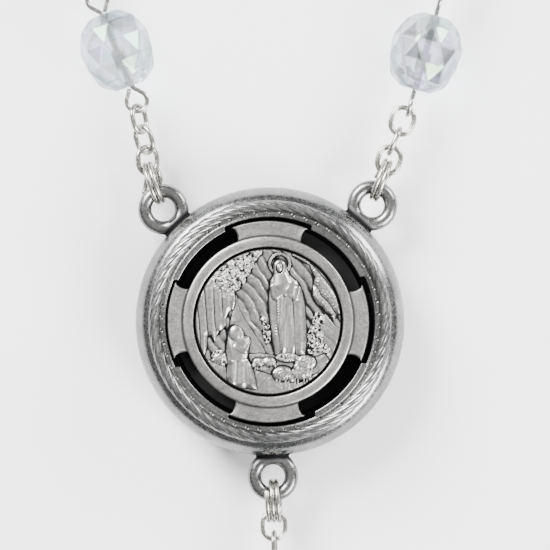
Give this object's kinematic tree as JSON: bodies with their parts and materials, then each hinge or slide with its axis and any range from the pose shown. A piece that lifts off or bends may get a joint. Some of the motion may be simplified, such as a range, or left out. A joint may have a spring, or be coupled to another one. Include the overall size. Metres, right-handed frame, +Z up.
{
  "type": "rosary",
  "caption": "Rosary laid in a heart: round push-button centre with relief scene, faceted crystal beads on looped pins and chain links, and a pendant ending in a crucifix.",
  "frame": {"origin": "middle of the centre's flat back face, which rests on the table", "axes": "+X to the right of the medal's scene, +Y towards the two strands (the top of the scene), +Z up out of the medal's face"},
  "size_m": [0.2437, 0.3256, 0.008],
  "materials": {
    "antique_silver": "antique silver plate, satin, dark in the recesses",
    "oxidised_silver": "oxidised silver plate, worn bright on the high points",
    "bright_silver": "bright silver-plated wire",
    "steel": "plain",
    "brass": "plain",
    "board": "solder-masked board",
    "crystal": "fire-polished clear glass with a pale rainbow coating"
  },
  "bodies": {
    "centre": {"case_front": "antique_silver", "case_back": "antique_silver", "case_screws": "steel", "return_spring": "steel", "circuit_board": "board", "dome_switch": "steel", "sounder_disc": "brass", "button_cells": "steel", "cell_contact_strip": "brass"},
    "button": {"push_button": "oxidised_silver", "relief_medal": "oxidised_silver"},
    "right_ring": {"right_ring": "bright_silver"},
    "right_link_1": {"right_link_1": "bright_silver"},
    "right_link_2": {"right_link_2": "bright_silver"},
    "right_link_3": {"right_link_3": "bright_silver"},
    "right_first_pin": {"right_first_pin": "bright_silver"},
    "right_first_bead": {"right_first_bead": "crystal"},
    "right_decade_1": {"right_decade_1_beads": "crystal", "right_decade_1_wire": "bright_silver"},
    "right_our_father_1": {"right_our_father_1_wire": "bright_silver"},
    "right_our_father_1_bead": {"right_our_father_1_bead": "crystal"},
    "right_decade_2": {"right_decade_2_beads": "crystal", "right_decade_2_wire": "bright_silver"},
    "right_our_father_2": {"right_our_father_2_wire": "bright_silver"},
    "right_our_father_2_bead": {"right_our_father_2_bead": "crystal"},
    "right_half_decade": {"right_half_decade_beads": "crystal", "right_half_decade_wire": "bright_silver"},
    "left_ring": {"left_ring": "bright_silver"},
    "left_link_1": {"left_link_1": "bright_silver"},
    "left_link_2": {"left_link_2": "bright_silver"},
    "left_link_3": {"left_link_3": "bright_silver"},
    "left_first_pin": {"left_first_pin": "bright_silver"},
    "left_first_bead": {"left_first_bead": "crystal"},
    "left_decade_1": {"left_decade_1_beads": "crystal", "left_decade_1_wire": "bright_silver"},
    "left_our_father_1": {"left_our_father_1_wire": "bright_silver"},
    "left_our_father_1_bead": {"left_our_father_1_bead": "crystal"},
    "left_decade_2": {"left_decade_2_beads": "crystal", "left_decade_2_wire": "bright_silver"},
    "left_our_father_2": {"left_our_father_2_wire": "bright_silver"},
    "left_our_father_2_bead": {"left_our_father_2_bead": "crystal"},
    "left_half_decade": {"left_half_decade_beads": "crystal", "left_half_decade_wire": "bright_silver"},
    "pendant_ring": {"pendant_ring": "bright_silver"},
    "pendant_link_1": {"pendant_link_1": "bright_silver"},
    "pendant_link_2": {"pendant_link_2": "bright_silver"},
    "pendant_link_3": {"pendant_link_3": "bright_silver"},
    "pendant_first_pin": {"pendant_first_pin": "bright_silver"},
    "pendant_first_bead": {"pendant_first_bead": "crystal"},
    "pendant_hail_marys": {"pendant_hail_mary_beads": "crystal", "pendant_hail_mary_wire": "bright_silver"},
    "pendant_last_pin": {"pendant_last_wire": "bright_silver"},
    "pendant_last_bead": {"pendant_last_bead": "crystal"},
    "crucifix_ring": {"crucifix_ring": "bright_silver"},
    "crucifix": {"cross": "oxidised_silver", "corpus": "oxidised_silver", "title_plate": "bright_silver"}
  },
  "joints": [
    {"name": "button_press", "type": "slide", "parent": "centre", "child": "button", "axis": [0, 0, -1], "range_m": [0, 0.0006], "stiffness_N_per_m": 400, "springref_m": -0.0005, "deforming": ["return_spring"]},
    {"name": "right_ring_tilt", "type": "hinge", "parent": "centre", "child": "right_ring", "pos_m": [0.01239, 0.01469, 0.004], "axis": [0.9381, -0.3463, 0], "range_deg": [-30, 30]},
    {"name": "right_link_1_swing", "type": "hinge", "parent": "right_ring", "child": "right_link_1", "pos_m": [0.01368, 0.01753, 0.004], "axis": [0, 0, 1], "range_deg": [0, 8]},
    {"name": "right_link_2_tilt", "type": "hinge", "parent": "right_link_1", "child": "right_link_2", "pos_m": [0.0141, 0.01919, 0.004], "axis": [-0.9063, 0.4226, 0], "range_deg": [-30, 30]},
    {"name": "right_link_3_swing", "type": "hinge", "parent": "right_link_2", "child": "right_link_3", "pos_m": [0.01493, 0.02124, 0.004], "axis": [0, 0, 1], "range_deg": [0, 8]},
    {"name": "right_first_pin_tilt", "type": "hinge", "parent": "right_link_3", "child": "right_first_pin", "pos_m": [0.01569, 0.02353, 0.004], "axis": [0.9563, -0.2924, 0], "range_deg": [-30, 30]},
    {"name": "left_ring_tilt", "type": "hinge", "parent": "centre", "child": "left_ring", "pos_m": [-0.0123, 0.01472, 0.004], "axis": [0.954, 0.2999, 0], "range_deg": [-30, 30]},
    {"name": "left_link_1_swing", "type": "hinge", "parent": "left_ring", "child": "left_link_1", "pos_m": [-0.0132, 0.01788, 0.004], "axis": [0, 0, -1], "range_deg": [0, 8]},
    {"name": "left_link_2_tilt", "type": "hinge", "parent": "left_link_1", "child": "left_link_2", "pos_m": [-0.0133, 0.01945, 0.004], "axis": [-0.9593, -0.2823, 0], "range_deg": [-30, 30]},
    {"name": "left_link_3_swing", "type": "hinge", "parent": "left_link_2", "child": "left_link_3", "pos_m": [-0.01399, 0.02171, 0.004], "axis": [0, 0, -1], "range_deg": [0, 8]},
    {"name": "left_first_pin_tilt", "type": "hinge", "parent": "left_link_3", "child": "left_first_pin", "pos_m": [-0.01422, 0.02409, 0.004], "axis": [0.9385, 0.3453, 0], "range_deg": [-30, 30]},
    {"name": "pendant_ring_tilt", "type": "hinge", "parent": "centre", "child": "pendant_ring", "pos_m": [0, -0.01936, 0.004], "axis": [-1, 0, 0], "range_deg": [-30, 30]},
    {"name": "pendant_link_1_swing", "type": "hinge", "parent": "pendant_ring", "child": "pendant_link_1", "pos_m": [0, -0.02226, 0.004], "axis": [0, 0, 1], "range_deg": [-8, 8]},
    {"name": "pendant_link_2_tilt", "type": "hinge", "parent": "pendant_link_1", "child": "pendant_link_2", "pos_m": [0, -0.02431, 0.004], "axis": [1, 0, 0], "range_deg": [-30, 30]},
    {"name": "pendant_link_3_swing", "type": "hinge", "parent": "pendant_link_2", "child": "pendant_link_3", "pos_m": [0, -0.02656, 0.004], "axis": [0, 0, -1], "range_deg": [-8, 8]},
    {"name": "pendant_first_pin_tilt", "type": "hinge", "parent": "pendant_link_3", "child": "pendant_first_pin", "pos_m": [0, -0.02881, 0.004], "axis": [-1, 0, 0], "range_deg": [-30, 30]},
    {"name": "right_first_bead_spin", "type": "hinge", "parent": "right_first_pin", "child": "right_first_bead", "pos_m": [0.0179, 0.02965, 0.004], "axis": [0.2924, 0.9563, 0], "continuous": true},
    {"name": "left_first_bead_spin", "type": "hinge", "parent": "left_first_pin", "child": "left_first_bead", "pos_m": [-0.0165, 0.0306, 0.004], "axis": [-0.3453, 0.9385, 0], "continuous": true},
    {"name": "pendant_first_bead_spin", "type": "hinge", "parent": "pendant_first_pin", "child": "pendant_first_bead", "pos_m": [0, -0.03545, 0.004], "axis": [0, 1, 0], "continuous": true},
    {"name": "pendant_hail_marys_tilt", "type": "hinge", "parent": "pendant_first_pin", "child": "pendant_hail_marys", "pos_m": [0, -0.04209, 0.004], "axis": [1, 0, 0], "range_deg": [-30, 30]},
    {"name": "pendant_last_pin_tilt", "type": "hinge", "parent": "pendant_hail_marys", "child": "pendant_last_pin", "pos_m": [0, -0.09575, 0.004], "axis": [-1, 0, 0], "range_deg": [-30, 30]},
    {"name": "right_decade_1_tilt", "type": "hinge", "parent": "right_first_pin", "child": "right_decade_1", "pos_m": [0.01982, 0.03601, 0.004], "axis": [-0.9304, 0.3665, 0], "range_deg": [-30, 30]},
    {"name": "right_our_father_1_tilt", "type": "hinge", "parent": "right_decade_1", "child": "right_our_father_1", "pos_m": [0.11735, 0.01909, 0.004], "axis": [-0.9999, -0.0135, 0], "range_deg": [-30, 30]},
    {"name": "right_decade_2_tilt", "type": "hinge", "parent": "right_our_father_1", "child": "right_decade_2", "pos_m": [0.11463, -0.00175, 0.004], "axis": [0.9834, -0.1814, 0], "range_deg": [-30, 30]},
    {"name": "right_our_father_2_tilt", "type": "hinge", "parent": "right_decade_2", "child": "right_our_father_2", "pos_m": [0.05613, -0.15872, 0.004], "axis": [-0.9272, 0.3746, 0], "range_deg": [-30, 30]},
    {"name": "right_half_decade_tilt", "type": "hinge", "parent": "right_our_father_2", "child": "right_half_decade", "pos_m": [0.04825, -0.17824, 0.004], "axis": [0.9272, -0.3746, 0], "range_deg": [-30, 30]},
    {"name": "left_decade_1_tilt", "type": "hinge", "parent": "left_first_pin", "child": "left_decade_1", "pos_m": [-0.019, 0.03739, 0.004], "axis": [-0.9385, -0.3453, 0], "range_deg": [-30, 30]},
    {"name": "left_our_father_1_tilt", "type": "hinge", "parent": "left_decade_1", "child": "left_our_father_1", "pos_m": [-0.11919, 0.01788, 0.004], "axis": [-0.9959, 0.09, 0], "range_deg": [-30, 30]},
    {"name": "left_decade_2_tilt", "type": "hinge", "parent": "left_our_father_1", "child": "left_decade_2", "pos_m": [-0.11644, -0.00295, 0.004], "axis": [0.9852, 0.1714, 0], "range_deg": [-30, 30]},
    {"name": "left_our_father_2_tilt", "type": "hinge", "parent": "left_decade_2", "child": "left_our_father_2", "pos_m": [-0.05591, -0.15927, 0.004], "axis": [-0.9272, -0.3746, 0], "range_deg": [-30, 30]},
    {"name": "left_half_decade_tilt", "type": "hinge", "parent": "left_our_father_2", "child": "left_half_decade", "pos_m": [-0.04803, -0.1788, 0.004], "axis": [0.9272, 0.3746, 0], "range_deg": [-30, 30]},
    {"name": "crucifix_ring_tilt", "type": "hinge", "parent": "pendant_last_pin", "child": "crucifix_ring", "pos_m": [0, -0.11983, 0.004], "axis": [1, 0, 0], "range_deg": [-20, 20]},
    {"name": "crucifix_tilt", "type": "hinge", "parent": "crucifix_ring", "child": "crucifix", "pos_m": [0, -0.12253, 0.0023], "axis": [-1, 0, 0], "range_deg": [-30, 30]},
    {"name": "right_our_father_1_bead_spin", "type": "hinge", "parent": "right_our_father_1", "child": "right_our_father_1_bead", "pos_m": [0.11575, 0.0048, 0.004], "axis": [-0.1695, -0.9855, 0], "continuous": true},
    {"name": "right_our_father_2_bead_spin", "type": "hinge", "parent": "right_our_father_2", "child": "right_our_father_2_bead", "pos_m": [0.05073, -0.17209, 0.004], "axis": [-0.3746, -0.9272, 0], "continuous": true},
    {"name": "left_our_father_1_bead_spin", "type": "hinge", "parent": "left_our_father_1", "child": "left_our_father_1_bead", "pos_m": [-0.11768, 0.00419, 0.004], "axis": [0.1714, -0.9852, 0], "continuous": true},
    {"name": "left_our_father_2_bead_spin", "type": "hinge", "parent": "left_our_father_2", "child": "left_our_father_2_bead", "pos_m": [-0.05074, -0.17208, 0.004], "axis": [0.3746, -0.9272, 0], "continuous": true},
    {"name": "pendant_last_bead_spin", "type": "hinge", "parent": "pendant_last_pin", "child": "pendant_last_bead", "pos_m": [0, -0.11017, 0.004], "axis": [0, 1, 0], "continuous": true}
  ]
}
